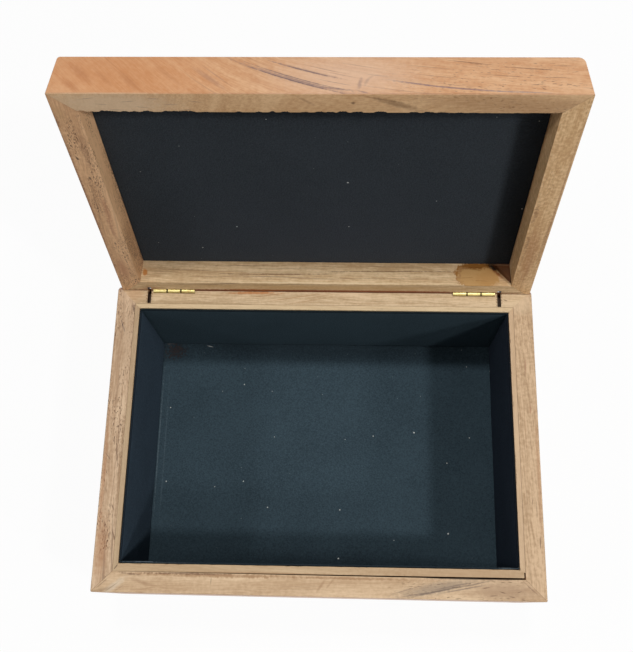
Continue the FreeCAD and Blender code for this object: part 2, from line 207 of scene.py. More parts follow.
def spot(place, look, fray):
    first, second = ["xyz".index(letter) for letter in look["plane"]]
    a = place[first] - look["at"][0]
    b = place[second] - look["at"][1]
    turn = math.radians(look["turn"])
    along = (a * math.cos(turn) + b * math.sin(turn)) * (1 / look["size"][0])
    across = b * math.cos(turn) - a * math.sin(turn)
    if look["bow"]:
        across = across - (1 - along * along) * look["bow"]
    across = across * (1 / look["size"][1])
    far = (along * along + across * across).root() + fray * look["fray"]
    mask = far.step(1.0, 1.0 - look["soft"]) * look["strength"]
    if look["within"]:
        axis, low, high = look["within"]
        mask = mask * place["xyz".index(axis)].between(low, high, 0.2)
    return mask


# marks that are all kept to one layer
def layered(layer, marks):
    return [dict(one, within=layer) for one in marks]


# Wood: grain is the axis it runs along, ring the tilt of the growth rings in degrees, slope how they run out of
# the plank and wave how far they sway. bands to drift say how strongly each layer of the grain shows, and mitre how
# dark the line of a mitre is at the front and at the back.
plainWood = {
    "light": tone(208, 180, 146), "dark": tone(184, 152, 118), "line": tone(120, 96, 76), "pore": tone(84, 60, 44),
    "varnishLight": tone(214, 170, 132), "varnishDark": tone(188, 134, 92), "varnishLine": tone(112, 84, 72),
    "worn": tone(126, 84, 58), "wornShare": 0.35,
    "grain": "x", "ring": 25.0, "slope": 0.04, "wave": 9.0, "ripple": 0.8,
    "bands": 1.8, "fibre": 2.0, "mottle": 1.0, "drift": 1.2,
    "lines": 0.35, "bareLines": True, "pores": 0.3, "poreScale": 1.0, "poreLevel": 0.61,
    "mitre": (0.4, 0.03), "seed": 0.0, "raw": False, "gloss": 0.4, "marks": (),
}

# how fine each layer is, in waves to a millimetre, along the grain and across it, or every way alike
grainScale = {
    "sway": (0.007, 0.03), "ripple": (0.05, 0.25), "drift": (0.018, 0.06), "field": (0.03, 0.14),
    "bands": (0.002, 0.2), "fibre": (0.1, 1.2), "thread": (0.006, 1.1), "comes": (0.014, 0.05), "dash": (0.3, 1.5),
    "mottle": 0.5, "fray": 0.6,
}

# where varnish gives way to bare wood, in millimetres from the mating face and past the sides and back of the felt
bareFrom = {"lid": (0.12, 0.04), "beside": (0.5, 0.2), "behind": (1.0, 0.4), "base": (0.45, 0.1), "fray": 0.5}
wornFrom = {"lid": (1.0, 0.2), "base": (1.6, 0.5)}
mitreLine = {"edge": (0.34, 0.06), "fray": 0.6, "turns": (20, -20)}
woodRough = {"plain": 0.36, "bare": 0.30, "fibre": 0.3, "pores": 0.2}
woodRelief = {"fibre": 0.5, "pores": 1.2, "lines": 0.3, "mitre": 1.4, "distance": 0.00014, "strength": 0.7}


def woodMaterial(name, onLid, changes):
    look = dict(plainWood, **changes)
    made, shader, wire, place = newMaterial(name, onLid)
    x, y, z = place
    along, across = (x, y) if look["grain"] == "x" else (y, x)
    seed = look["seed"]

    # a cloudy layer, drawn out along the grain
    def layer(name):
        lengthwise, sideways = grainScale[name]
        return wire.cloud(along * lengthwise + seed, across * sideways, z * sideways)

    # one that is alike every way
    def even(name):
        fine = grainScale[name]
        return wire.cloud(x * fine + seed, y * fine, z * fine) - 0.5

    # growth rings: sheets through the plank, tilted, bowed and a little wavy
    ring = math.radians(look["ring"])
    sway = layer("sway") - 0.5
    ripple = layer("ripple") - 0.5
    run = along * look["slope"]
    if "sweep" in look:
        steep, flat, bend, middle = look["sweep"]
        off = along - middle
        run = off * ((steep + flat) / 2) - (off * off + bend * bend).root() * ((steep - flat) / 2)
    depth = across * math.cos(ring) + z * math.sin(ring) + run + sway * look["wave"] + ripple * look["ripple"]
    beside = z * math.cos(ring) - across * math.sin(ring)

    # how pale the wood is: broad bands, fine fibres, mottling and a slow drift
    lengthwise, sideways = grainScale["bands"]
    bands = wire.cloud(depth * sideways, along * lengthwise, seed + 3.7, 3.0, 0.6) - 0.5
    lengthwise, sideways = grainScale["fibre"]
    fibre = wire.cloud(along * lengthwise + seed, depth * sideways, beside * sideways, 3.0, 0.62) - 0.5
    mottle = even("mottle")
    lengthwise, sideways = grainScale["drift"]
    drift = wire.cloud(along * lengthwise + seed, across * sideways, z * sideways + 5.1) - 0.5
    pale = bands * look["bands"] + fibre * look["fibre"] + mottle * look["mottle"] + drift * look["drift"] + 0.5
    pale = pale.least(1.0).most(0.0)

    # thin dark grain lines that come and go, and open pores
    lengthwise, sideways = grainScale["thread"]
    thread = wire.cloud(depth * sideways, along * lengthwise, seed + 8.2).step(0.56, 0.70)
    lengthwise, sideways = grainScale["comes"]
    comes = wire.cloud(along * lengthwise, depth * sideways, seed + 1.9).step(0.42, 0.60)
    lines = thread * comes * look["lines"]
    fine, level = look["poreScale"], look["poreLevel"]
    lengthwise, sideways = grainScale["dash"]
    dash = wire.cloud(along * lengthwise * fine, depth * sideways * fine, beside * sideways * fine + seed, 1.0)
    pores = dash.step(level, level + 0.09) * layer("field").step(0.42, 0.60) * look["pores"]
    if "poresFrom" in look:
        pores = pores * along.step(*look["poresFrom"])

    # bare wood where the two halves meet and inside, varnish on the outside
    fray = even("fray")
    if onLid:
        varnish, wood = bareFrom["lid"]
        bare = z.step(lidLow.z + varnish, lidLow.z + wood)
        halfX = lidFeltHigh.x - feltMiddle.x
        halfY = lidFeltHigh.y - feltMiddle.y
        varnish, wood = bareFrom["beside"]
        insideX = abs(x - feltMiddle.x).step(halfX + varnish, halfX + wood)
        insideY = abs(y - feltMiddle.y).step(halfY + varnish, halfY + wood)
        varnish, wood = bareFrom["behind"]
        bare = bare.most(insideX * insideY * z.step(lidFeltHigh.z + varnish, lidFeltHigh.z + wood))
        fresh, old = wornFrom["lid"]
        rim = z.step(lidLow.z + fresh, lidLow.z + old)
        corner = abs(x - lidMiddle.x) - abs(y - lidMiddle.y) - (lidHigh.x - lidMiddle.x - lidHigh.y + lidMiddle.y)
    else:
        varnish, wood = bareFrom["base"]
        bare = (z + fray * bareFrom["fray"]).step(baseHigh.z - varnish, baseHigh.z - wood)
        fresh, old = wornFrom["base"]
        rim = z.step(baseHigh.z - fresh, baseHigh.z - old)
        corner = abs(x) - abs(y) - (baseHigh.x - baseHigh.y)
    if look["raw"]:
        bare = z * 0.0 + 1.0
    if not look["bareLines"]:
        lines = lines * (1 - bare)
    deep = bare.blend(look["varnishDark"], look["dark"])
    colour = pale.blend(deep, bare.blend(look["varnishLight"], look["light"]))
    colour = (rim * (1 - bare) * look["wornShare"]).blend(colour, look["worn"])
    colour = lines.blend(colour, bare.blend(look["varnishLine"], look["line"]))
    colour = pores.blend(colour, look["pore"])

    # a fine dark line down each mitre
    front, back = look["mitre"]
    mitre = (abs(corner) + fray * mitreLine["fray"]).step(*mitreLine["edge"])
    mitre = mitre * (y.step(*mitreLine["turns"]) * (front - back) + back)
    colour = mitre.blend(colour, brownLine)
    for one in look["marks"]:
        colour = spot(place, one, fray).blend(colour, one["tint"])

    feed(wire, shader, "Base Color", colour)
    rough = bare * woodRough["bare"] + fibre * woodRough["fibre"] + pores * woodRough["pores"] + woodRough["plain"]
    feed(wire, shader, "Roughness", rough.least(1.0))
    height = fibre * woodRelief["fibre"] - pores * woodRelief["pores"] - lines * woodRelief["lines"]
    height = height - mitre * woodRelief["mitre"]
    bump(wire, shader, height, woodRelief["distance"], woodRelief["strength"])
    shader.inputs["Specular IOR Level"].default_value = look["gloss"]
    return made


# saw kerfs beside the hinges, their insides painted dark brown as painted shade, with torn fibres along their edges
kerfX = 105.5
kerfShade = tone(56, 38, 25)
inKerf = ("z", baseHigh.z - 5.5, baseHigh.z - 0.25)
inLidKerf = ("z", lidLow.z + 0.3, 6)
kerfMarks = [mark("xy", (end * kerfX, 82.4), (5.8, 1.8), 90, kerfShade, 0.95, 0.2, 0, 0.3, inKerf)
             for end in (-1, 1)]
for end in (-1, 1):
    for edge in (-1, 1):
        for i in range(4):
            at = (end * kerfX + edge * 1.5, 79.6 + 1.9 * i + 0.7 * edge)
            kerfMarks.append(mark("xy", at, (1.1, 0.55), 80 + 25 * (i % 3), brownLine, 0.6, 0.8, 0, 1.2))

# where marks of the lid lie: the outer face of the front rail, the inner face of the back rail, the mating faces
# and the floor of the torn corner
onOuter = ("z", lidLow.z + 0.3, 40)
onInner = ("y", -12, -8.9)
onMating = ("z", -1, lidLow.z + 0.6)
inTear = ("y", -8.9, -2)

lidOuterMarks = [
    mark("xz", (-92, 12), (72, 30), 0, tone(196, 128, 74), 0.5, 0.8),
    mark("xz", (14, 11), (50, 22), 0, tone(218, 186, 162), 0.5, 0.9),
    # brown bands at the left, steep
    mark("xz", (-108, 12.8), (12, 3.4), -46, tone(166, 104, 60), 0.5, 0.95),
    mark("xz", (-111, 5.0), (9, 2.8), -42, tone(166, 104, 60), 0.48, 0.95),
    mark("xz", (-84, 7.2), (12, 3.0), -48, tone(168, 108, 64), 0.46, 0.95),
    mark("xz", (-97, 10.0), (11, 1.8), -46, tone(172, 112, 68), 0.38, 0.95),
    mark("xz", (-68, 12.0), (13, 2.0), -44, tone(172, 114, 72), 0.34, 0.95),
    mark("xz", (-48, 9.2), (14, 2.0), -40, tone(150, 112, 94), 0.42, 0.9, 0, 0.7),
    mark("xz", (-45, 11.0), (13, 0.5), -41, tone(140, 104, 90), 0.35, 0.8, 0, 0.9),
    # grey streaks that come down from the top and flatten out
    mark("xz", (-9.5, 10.8), (37, 1.8), -20.3, tone(146, 118, 108), 0.75, 0.9, -2.2, 0.8),
    mark("xz", (-10, 10.4), (36, 0.5), -20.5, tone(100, 82, 82), 0.85, 0.8, -2.2, 1.0),
    mark("xz", (-8, 11.6), (34, 0.42), -20.0, tone(106, 88, 86), 0.75, 0.8, -2.1, 1.0),
    mark("xz", (-4, 9.2), (21, 0.3), -20.5, tone(120, 98, 94), 0.5, 0.8, -2.2, 1.0),
    mark("xz", (-3.4, 14.8), (24, 1.2), -18, tone(148, 118, 108), 0.65, 0.9, -0.9, 0.8),
    mark("xz", (-5, 15.2), (22, 0.44), -18.4, tone(102, 84, 84), 0.8, 0.8, -0.9, 1.0),
    mark("xz", (4, 15.6), (14, 0.3), -16, greyStreak, 0.5, 0.8, -0.6, 1.0),
    mark("xz", (9, 7.4), (11, 0.35), -14, greyStreak, 0.5, 0.8, -0.4, 1.0),
    mark("xz", (12, 11.6), (10, 0.3), -14, greyStreak, 0.45, 0.8, 0, 1.0),
    mark("xz", (20, 17.2), (12, 0.3), -12, greyStreak, 0.45, 0.8, 0, 1.0),
    mark("xz", (10, 3.4), (11, 0.9), -9, tone(116, 96, 94), 0.6, 0.9, 0, 0.9),
    # a small swirl
    mark("xz", (21.0, 6.2), (5.6, 1.5), 80, tone(132, 108, 104), 0.5, 0.95, 1.2, 1.2),
    mark("xz", (24.2, 7.6), (4.6, 1.2), 60, tone(142, 116, 108), 0.42, 0.95, 1.2, 1.2),
    mark("xz", (21.4, 1.6), (4.6, 0.7), -18, tone(128, 106, 104), 0.6, 0.9, 0, 0.9),
    mark("xz", (28, 11.4), (7, 0.4), -8, tone(140, 114, 106), 0.45, 0.9, 0, 0.9),
    # the long line at the right
    mark("xz", (65, 5.0), (36, 0.75), -6.2, tone(112, 96, 104), 0.66, 0.8, -1.3, 0.9),
    mark("xz", (44, 6.8), (16, 0.7), -10, tone(112, 96, 104), 0.6, 0.9, 0, 0.8),
    mark("xz", (92, 1.7), (20, 0.6), -2, tone(150, 136, 134), 0.6, 0.9, 0, 0.8),
    mark("xz", (70, 19.3), (14, 0.4), -8),
    mark("xz", (97, 15.7), (14, 0.4), -5),
    mark("xz", (52, 16.4), (16, 0.3), -7, brownLine, 0.4),
    mark("xz", (84, 11.4), (12, 0.3), -5, brownLine, 0.5),
    mark("xz", (108, 10.4), (9, 0.35), -3, brownLine, 0.5),
    mark("xz", (112, 17.4), (6, 0.4), -2, brownLine, 0.5, 0.8, 0, 1.2),
    mark("xz", (56, 10.8), (14, 0.3), -7, brownLine, 0.4),
]

frontRimMarks = [
    mark("xy", (-112, -85.4), (11, 2.6), 38, tone(214, 199, 176), 0.55, 0.9, 0, 0.9),
    mark("xy", (-119, -84.4), (5.5, 0.4), 42, brownLine, 0.45),
    mark("xy", (-113.5, -86.2), (6.0, 0.4), 36, tone(150, 124, 98), 0.6),
    mark("xy", (-109, -86.6), (5.0, 0.35), 34, tone(150, 124, 98), 0.5),
    mark("xy", (-119, -87.8), (8, 1.5), 14, tone(142, 116, 88), 0.55, 0.9),
    mark("xy", (-97, -83.2), (11, 1.5), -16, tone(146, 112, 80), 0.42, 0.9),
    mark("xy", (-86, -85.6), (9, 0.9), -10, shadeBrown, 0.35, 0.9),
    mark("xy", (-94, -86.6), (8, 0.5), 12, shadeBrown, 0.4, 0.9),
    # a dark line along the inner edge of the rim, darkest at the right: painted shade of the joint with the front
    # liner
    mark("xy", (-55, -79.0), (62, 1.4), 0, shadeBrown, 0.8, 0.8, 0, 1.6),
    mark("xy", (-72, -78.4), (30, 0.6), 0, brownLine, 0.7, 0.8, 0, 1.6),
    mark("xy", (-104, -79.0), (7, 0.9), -6, brownLine, 0.6, 0.8, 0, 1.6),
    mark("xy", (22, -79.0), (46, 0.9), 0, shadeBrown, 0.7, 0.8, 0, 1.6),
    mark("xy", (84, -77.9), (31, 0.55), 0, tone(60, 44, 34), 0.85, 0.6, 0, 0.9),
    mark("xy", (-58.5, -81.7), (2.6, 0.3), 88, brownLine, 0.65),
    mark("xy", (2.2, -83), (7, 1.2), 55, shadeBrown, 0.5, 0.9),
    mark("xy", (7, -82), (6, 0.8), 52, shadeBrown, 0.35, 0.9),
    mark("xy", (66, -83.0), (34, 4.4), 11.5, tone(138, 120, 102), 0.68, 0.85, 0, 0.7),
    mark("xy", (102, -83.6), (32, 8), 0, tone(156, 126, 98), 0.68, 0.9),
    mark("xy", (54, -86.6), (13, 0.45), 10, greyVein, 0.65),
    mark("xy", (62, -85.6), (16, 0.55), 12, tone(112, 95, 82), 0.65),
    mark("xy", (69, -83.9), (20, 0.7), 12, greyVein, 0.6),
    mark("xy", (74, -81.9), (17, 0.6), 12, tone(118, 100, 86), 0.6),
    mark("xy", (80, -83.2), (16, 0.55), 11, tone(108, 92, 80), 0.65),
    mark("xy", (86, -80.6), (13, 0.5), 13, greyVein, 0.6),
    mark("xy", (48, -84.6), (10, 0.4), 16, tone(128, 106, 88), 0.5),
    mark("xy", (92, -82.4), (2.8, 0.36), 8, brownLine, 0.75),
    mark("xy", (101, -84.6), (2.4, 0.38), -14, brownLine, 0.75),
    mark("xy", (96, -86.4), (3.0, 0.34), 6, brownLine, 0.65),
    mark("xy", (106, -86.8), (2.2, 0.36), -10, brownLine, 0.7),
    mark("xy", (110, -84.2), (1.8, 0.32), 20),
    mark("xy", (116.5, -82.0), (7.5, 0.5), -42, tone(120, 92, 70), 0.6, 0.8, -0.4, 1.0),
]

lidBackMarks = layered(onInner, [
    mark("xz", (-30, 7.6), (48, 0.6), 0.4, veinBrown, 0.7, 0.8, -0.9, 1.4),
    mark("xz", (38, 9.1), (52, 0.55), 0.8, veinBrown, 0.7, 0.8, 0.4, 1.4),
    mark("xz", (-80, 9.2), (20, 0.45), -1.5, veinBrown, 0.55, 0.8, 0, 1.4),
    mark("xz", (-50, 12.0), (34, 0.45), 1, veinPale, 0.5, 0.8, 0.6, 1.4),
    mark("xz", (26, 4.2), (48, 0.4), 0.6, veinPale, 0.5, 0.8, 0, 1.4),
    mark("xz", (44, 12.8), (30, 0.4), -0.6, veinPale, 0.45, 0.8, 0, 1.4),
    mark("xz", (-60, 4.6), (34, 0.4), 0.4, veinPale, 0.45, 0.8, 0, 1.4),
    # a pale line along the arris at the foot of the inner face: painted highlight
    mark("xz", (0, 1.0), (118, 0.8), 0.1, tone(224, 202, 164), 0.55, 0.8, 0, 0.6),
    mark("xz", (91.6, 7.4), (13.6, 9.8), 0, tone(146, 96, 38), 0.72, 0.12, 0, 0.7),
    mark("xz", (92.9, 6.2), (13.3, 9.0), 0, tone(190, 150, 96), 0.7, 0.2, 0, 0.7),
    mark("xz", (102, 5.4), (14, 9.6), 0, tone(172, 124, 70), 0.42, 0.5, 0, 0.8),
    mark("xz", (104.4, 8.0), (8.4, 1.3), -50, tone(160, 92, 50), 0.65, 0.8, 0, 1.6),
    mark("xz", (92.6, 13.9), (13.0, 2.7), 3, tone(126, 80, 30), 0.95, 0.6, 0, 1.3),
    mark("xz", (89, 12.2), (8.5, 0.7), 5, tone(110, 68, 28), 0.75, 0.8, 0.5, 1.2),
    mark("xz", (80.0, 9.6), (0.8, 5.6), -10, tone(148, 94, 36), 0.75, 0.7, 0, 1.0),
    mark("xz", (90, 10.6), (7, 0.6), -8, tone(138, 96, 48), 0.65, 0.7, 1.0, 1.0),
    mark("xz", (85, 5.6), (6, 0.4), 4, tone(146, 104, 58), 0.55, 0.7, 0, 1.0),
    mark("xz", (94, 3.6), (6, 0.4), -3, tone(150, 108, 62), 0.5, 0.7, 0, 1.0),
]) + layered(inTear, [
    mark("xz", (109, 11.6), (13, 11.2), 0, tornWood, 0.85, 0.15, 0, 0.4),
    mark("xz", (104, 10), (10, 0.8), -38, tone(52, 32, 22), 0.8, 0.7, 0, 1.4),
    mark("xz", (109, 9), (8, 0.7), -42, tone(150, 98, 62), 0.7, 0.7, 0, 1.4),
    mark("xz", (106, 13), (7, 0.5), -36, tone(140, 92, 58), 0.6, 0.7, 0, 1.4),
]) + [
    mark("xz", (101.6, 13.2), (3.6, 2.2), -50, blackSpotAndKerfShade, 0.95, 0.6, 0, 0.8, ("y", -12, -2)),
    mark("xz", (-107.8, 7.4), (1.9, 3.2), 8, tone(178, 110, 40), 0.8, 0.7, 0, 1.6, ("y", -12, -8.6)),
] + layered(onMating, [
    mark("xy", (0, -5.4), (150, 4.4), 0, tone(198, 160, 108), 0.5, 0.9, 0, 0.8),
    # a dark reddish line along the hinge edge: painted shade of the gap between lid and base
    mark("xy", (0, -0.6), (150, 2.2), 0, tone(112, 60, 38), 0.92, 0.5, 0, 0.4),
    mark("xy", (32, -1.9), (64, 1.1), -0.6, tone(150, 92, 64), 0.75, 0.8, 0, 0.8),
    mark("xy", (-40, -1.8), (26, 1.2), 0.6, tone(158, 96, 50), 0.7, 0.8, 0, 1.0),
    mark("xy", (-104, -2.4), (9, 3.4), 0, tone(150, 96, 62), 0.5, 0.9, 0, 1.0),
# the insides of the lid's kerfs are painted near black: painted shade
]) + [mark("xy", (end * kerfX, 0.0), (5.0, 1.7), 90, blackSpotAndKerfShade, 0.9, 0.25, 0, 0.4, inLidKerf)
      for end in (-1, 1)]

woods = {
    "base_front_wall": {"seed": 3.1,
        "light": tone(216, 187, 152), "dark": tone(182, 150, 115), "slope": -0.03, "lines": 0.2,
        "pores": 0.75, "poresFrom": (20, 75), "poreScale": 1.3, "fibre": 1.8, "drift": 1.8,
        "marks": frontRimMarks},
    "base_back_wall": {"seed": 11.4,
        "light": tone(210, 185, 151), "dark": tone(174, 148, 114), "lines": 0.15, "pores": 0.1,
        "fibre": 2.6, "gloss": 0.1,
        "marks": kerfMarks + [
            mark("xy", (-115, 83), (10, 7), 0, tone(176, 134, 98), 0.5, 0.9),
            mark("xy", (109.2, 82.2), (1.8, 0.4), -20, brownLine, 0.75),
            mark("xy", (-18, 82.4), (22, 0.5), 9, tone(160, 122, 84), 0.65, 0.8),
            mark("xy", (-8, 80.6), (20, 0.45), 10, tone(160, 122, 84), 0.55, 0.8),
            mark("xy", (-30, 84.2), (16, 0.5), 8, tone(156, 116, 78), 0.65, 0.8),
            mark("xy", (-2, 83.4), (16, 0.4), 11, tone(166, 128, 90), 0.55, 0.8),
            mark("xy", (-42, 85.2), (22, 1.3), 1, tone(170, 104, 52), 0.75, 0.8, 0, 1.0),
            mark("xy", (30, 79.4), (80, 0.3), 0, tone(172, 138, 100), 0.5, 0.8, 0, 1.4),
        ]},
    "base_left_wall": {"seed": 17.9, "grain": "y",
        "light": tone(210, 181, 149), "dark": tone(171, 139, 108), "lines": 0.6,
        "pores": 0.95, "poreScale": 1.6, "poreLevel": 0.58, "slope": 0.02, "bands": 2.4, "fibre": 2.6,
        "marks": [
            mark("xy", (-123.4, -30), (62, 1.6), 90, tone(168, 120, 84), 0.55, 0.9, 0, 1.0),
            mark("xy", (-121, -66), (24, 5), 90, tone(162, 110, 72), 0.48, 0.9),
            mark("xy", (-114.5, -22), (54, 1.3), 90, tone(134, 104, 72), 0.6, 0.9, 0, 1.3),
            mark("xy", (-116.2, 4), (40, 0.6), 91, tone(128, 98, 72), 0.5, 0.8, 0.8, 1.3),
            mark("xy", (-117.8, -20), (34, 0.5), 89, tone(136, 104, 78), 0.5, 0.8, -0.6, 1.3),
            mark("xy", (-119.6, 20), (40, 0.5), 90, tone(140, 110, 84), 0.45, 0.8, 0.4, 1.3),
            mark("xy", (-118, 56), (40, 9), 90, tone(150, 118, 88), 0.36, 0.9),
            mark("xy", (-120, 63.3), (6.2, 0.5), -69, greyLine, 0.6),
            mark("xy", (-117, -11.9), (10.5, 0.5), -82),
            mark("xy", (-116.6, -43.1), (2.8, 0.5), -63, brownLine, 0.65),
            mark("xy", (-122, -14.5), (3.4, 0.4), -51),
            mark("xy", (-114.6, -58.8), (4.5, 0.5), -70, brownLine, 0.65),
            mark("xy", (-113.9, 73.4), (5.5, 1.0), -71, tone(92, 72, 60), 0.6),
        ]},
    "base_right_wall": {"seed": 23.2, "grain": "y",
        "light": tone(206, 175, 140), "dark": tone(165, 134, 100), "lines": 0.2,
        "pores": 0.25, "poreScale": 1.5, "mottle": 1.6, "fibre": 2.6,
        "marks": [
            mark("xy", (117, 81), (16, 11), 0, tone(206, 181, 148), 0.6, 0.8),
            mark("xy", (123.6, -20), (64, 1.2), 90, tone(160, 116, 82), 0.5, 0.9, 0, 1.2),
            mark("xy", (122.6, -58), (4.4, 0.5), 88, brownLine, 0.7),
            mark("xy", (121.6, -40), (6, 0.4), 90, brownLine, 0.4, 0.8, 0, 1.4),
            mark("xy", (119.4, -36), (2.4, 0.35), 80, brownLine, 0.5),
            mark("xy", (120.8, 16), (3.6, 0.6), 88, tone(160, 112, 84), 0.6),
            mark("xy", (117.4, 4), (12, 0.4), 91, shadeBrown, 0.5),
            mark("xy", (119.2, 42), (7.0, 0.5), 89, tone(160, 118, 92), 0.6),
        ]},
    "lid_front_rail": {"seed": 5.3, "ring": 80.0, "sweep": (1.1, 0.1, 40.0, -35.0),
        "lines": 0.3, "wave": 4.0, "pores": 0.6,
        "poresFrom": (15, 70), "poreScale": 1.3, "bareLines": False, "mitre": (0.22, 0.22),
        "light": tone(208, 171, 129), "dark": tone(180, 139, 96), "varnishLight": tone(216, 172, 132),
        "varnishDark": tone(193, 140, 98),
        "marks": layered(onOuter, lidOuterMarks) + layered(onMating, [
            mark("xy", (-94, -168), (46, 12), 0, tone(206, 181, 151), 0.6, 0.8, 0, 0.6),
            mark("xy", (37.5, -168.2), (17, 2.6), 20, tone(108, 78, 48), 0.6, 0.9, 0, 0.8),
            mark("xy", (30, -171.6), (13, 0.9), 14, tone(112, 82, 54), 0.55, 0.9, 0, 0.8),
            mark("xy", (88, -169), (58, 10), 4, tone(132, 92, 54), 0.42, 0.8, 0, 0.8),
            mark("xy", (-4, -170.3), (7, 1.1), 36, tone(140, 104, 70), 0.5, 0.9, 0, 0.8),
            mark("xy", (17.0, -169.2), (1.4, 1.2), 0, tone(96, 66, 42), 0.8, 0.8, 0, 0.6),
        ] + [mark("xy", (-104 + 6.2 * i, -171.6 + (i * 7 % 5) * 1.9), (4.5, 0.34), (i * 5 % 7) * 3 - 9,
                  greyLine, 0.42, 0.8, 0, 1.0) for i in range(9)])},
    "lid_back_rail": {"seed": 13.8,
        "light": tone(219, 191, 152), "dark": tone(185, 152, 112), "lines": 0.5, "ring": 65.0,
        "pores": 0.2, "fibre": 2.6, "gloss": 0.1,
        "marks": lidBackMarks},
    "lid_left_rail": {"seed": 19.6, "grain": "y",
        "light": tone(218, 175, 132), "dark": tone(182, 138, 98), "pores": 1.0,
        "poreScale": 2.0, "poreLevel": 0.56, "mitre": (0.2, 0.2), "bands": 2.2, "fibre": 2.4,
        "marks": layered(onMating, [
            mark("xy", (-121.4, -90), (92, 0.9), 90, tone(118, 74, 48), 0.6, 0.9, 0, 1.0),
            mark("xy", (-113.0, -82), (22, 2.4), 90, tone(150, 92, 60), 0.5, 0.9, 0.6, 1.2),
            mark("xy", (-114.6, -66), (16, 1.6), 86, tone(144, 86, 56), 0.45, 0.9, 0, 1.2),
            mark("xy", (-119, -162), (9, 4), 70, tone(188, 148, 104), 0.5, 0.9, 0, 0.8),
            mark("xy", (-113.4, -134), (24, 2.6), 90, tone(128, 92, 66), 0.34, 0.9, 0, 1.2),
            mark("xy", (-118.6, -128), (1.8, 0.9), 80, knotBrown, 0.8, 0.8, 0, 0.8),
            mark("xy", (-116.0, -112), (2.0, 0.9), 84, knotBrown, 0.75, 0.8, 0, 0.8),
            mark("xy", (-115.8, -52), (1.8, 0.8), 84, knotBrown, 0.7, 0.8, 0, 0.8),
            mark("xy", (-117, -24), (18, 5), 90, tone(160, 108, 78), 0.55, 0.9, 0, 0.8),
        ])},
    "lid_right_rail": {"seed": 29.7, "grain": "y",
        "light": tone(224, 188, 142), "dark": tone(192, 151, 104), "pores": 0.4,
        "poreScale": 1.6, "mottle": 2.6, "mitre": (0.2, 0.2), "fibre": 2.4,
        "marks": layered(onMating, [
            mark("xy", (122.8, -90), (92, 0.8), 90, tone(136, 86, 54), 0.5, 0.9, 0, 1.0),
            mark("xy", (117, -40), (46, 6), 90, tone(152, 98, 54), 0.5, 0.9, 0, 1.0),
            mark("xy", (113.2, -84), (12, 1.4), 90, tone(120, 80, 50), 0.55, 0.9, 0, 2.6),
            mark("xy", (113.4, -56), (10, 1.2), 90, tone(120, 80, 50), 0.5, 0.9, 0, 2.6),
        ]) + [mark("xz", (111.4, 14.4), (1.5, 1.0), 0, tone(150, 86, 48), 0.5, 0.8)]},
}
# marks of the rim stay off the outer faces
onRim = ("z", baseHigh.z - 0.7, baseHigh.z + 1)
for node, changes in woods.items():
    if node.startswith("base_"):
        changes["marks"] = [dict(one, within=one["within"] or onRim) for one in changes["marks"]]
    dress(node, woodMaterial(node, node.startswith("lid_"), changes))

linerWood = {
    "front": {"light": tone(199, 172, 137), "dark": tone(176, 147, 112), "seed": 31.0, "marks": [
        # the dark line along the outer edge of the liner: painted shade of the joint with the front rim
        mark("xy", (-30, -77.2), (84, 0.6), 0.2, shadeBrown, 0.6, 0.8, 0, 1.2),
        mark("xy", (78, -75), (70, 6), 0, shadeBrown, 0.36, 0.8, 0, 1.2),
        mark("xy", (-112.0, -75.4), (2.4, 0.5), 52, tone(60, 44, 32), 0.75, 0.7, 0, 0.8)]},
    "back": {"light": tone(214, 190, 153), "dark": tone(194, 168, 130), "seed": 35.3},
    "left": {"grain": "y", "light": tone(190, 164, 130), "dark": tone(166, 139, 107), "seed": 39.6},
    "right": {"grain": "y", "light": tone(203, 173, 139), "dark": tone(180, 150, 116), "seed": 43.9},
}
for side, changes in linerWood.items():
    plain = {"raw": True, "lines": 0.15, "pores": 0.15, "mitre": (0, 0), "mottle": 0.5}
    dress("liner_" + side, woodMaterial("liner_" + side, False, dict(plain, **changes)))

panelWood = {"mitre": (0, 0), "ring": 15.0, "slope": 0.02, "wave": 22.0, "lines": 0.45}
dress("base_floor_panel", woodMaterial("base_floor_panel", False, dict(panelWood, seed=41.0)))
dress("lid_top_panel", woodMaterial("lid_top_panel", True, dict(panelWood, seed=47.0)))

paleVeneer = {"varnishLight": tone(232, 212, 170), "varnishDark": tone(212, 186, 140), "pores": 0.2, "lines": 0.12,
              "varnishLine": tone(188, 160, 116), "mitre": (0, 0)}
darkVeneer = {"varnishLight": tone(92, 58, 42), "varnishDark": tone(52, 32, 24), "pores": 0.4, "lines": 0.3,
              "varnishLine": tone(30, 18, 14), "mitre": (0, 0)}
inlays = {
    "inlay_border_front": dict(paleVeneer, seed=51.0), "inlay_border_back": dict(paleVeneer, seed=53.0),
    "inlay_border_left": dict(paleVeneer, seed=55.0, grain="y"),
    "inlay_border_right": dict(paleVeneer, seed=57.0, grain="y"),
    "inlay_octagon": dict(paleVeneer, seed=59.0), "inlay_star": dict(darkVeneer, seed=61.0),
    "inlay_corner_diamonds": dict(darkVeneer, seed=63.0),
}
for node, changes in inlays.items():
    dress(node, woodMaterial(node, True, changes))
print("wood dressed")


# Worn edges: a copy of a wooden node with one long arris broken into chips. where says which corner points lie on
# the arris and run which axis it follows. On the flat face, at level, the break goes away along out, and into the
# side it goes down. reach is the usual width of the break in metres, ragged how far single chips go beyond it, whole
# how much of the arris is kept, and between the two places in fades the chips die down.
wear = {
    "weld": 1e-6, "flat": math.radians(0.3), "cuts": (23, 15), "smooth": math.radians(35), "near": 2e-5,
    "ends": 0.0012, "fine": 1500, "torn": (260, 75), "second": 0.7, "soft": 0.3, "fade": 0.75,
    "nick": (0.1, 0.1), "chip": (0.8, 0.7), "least": 0.04, "most": 2.6,
}


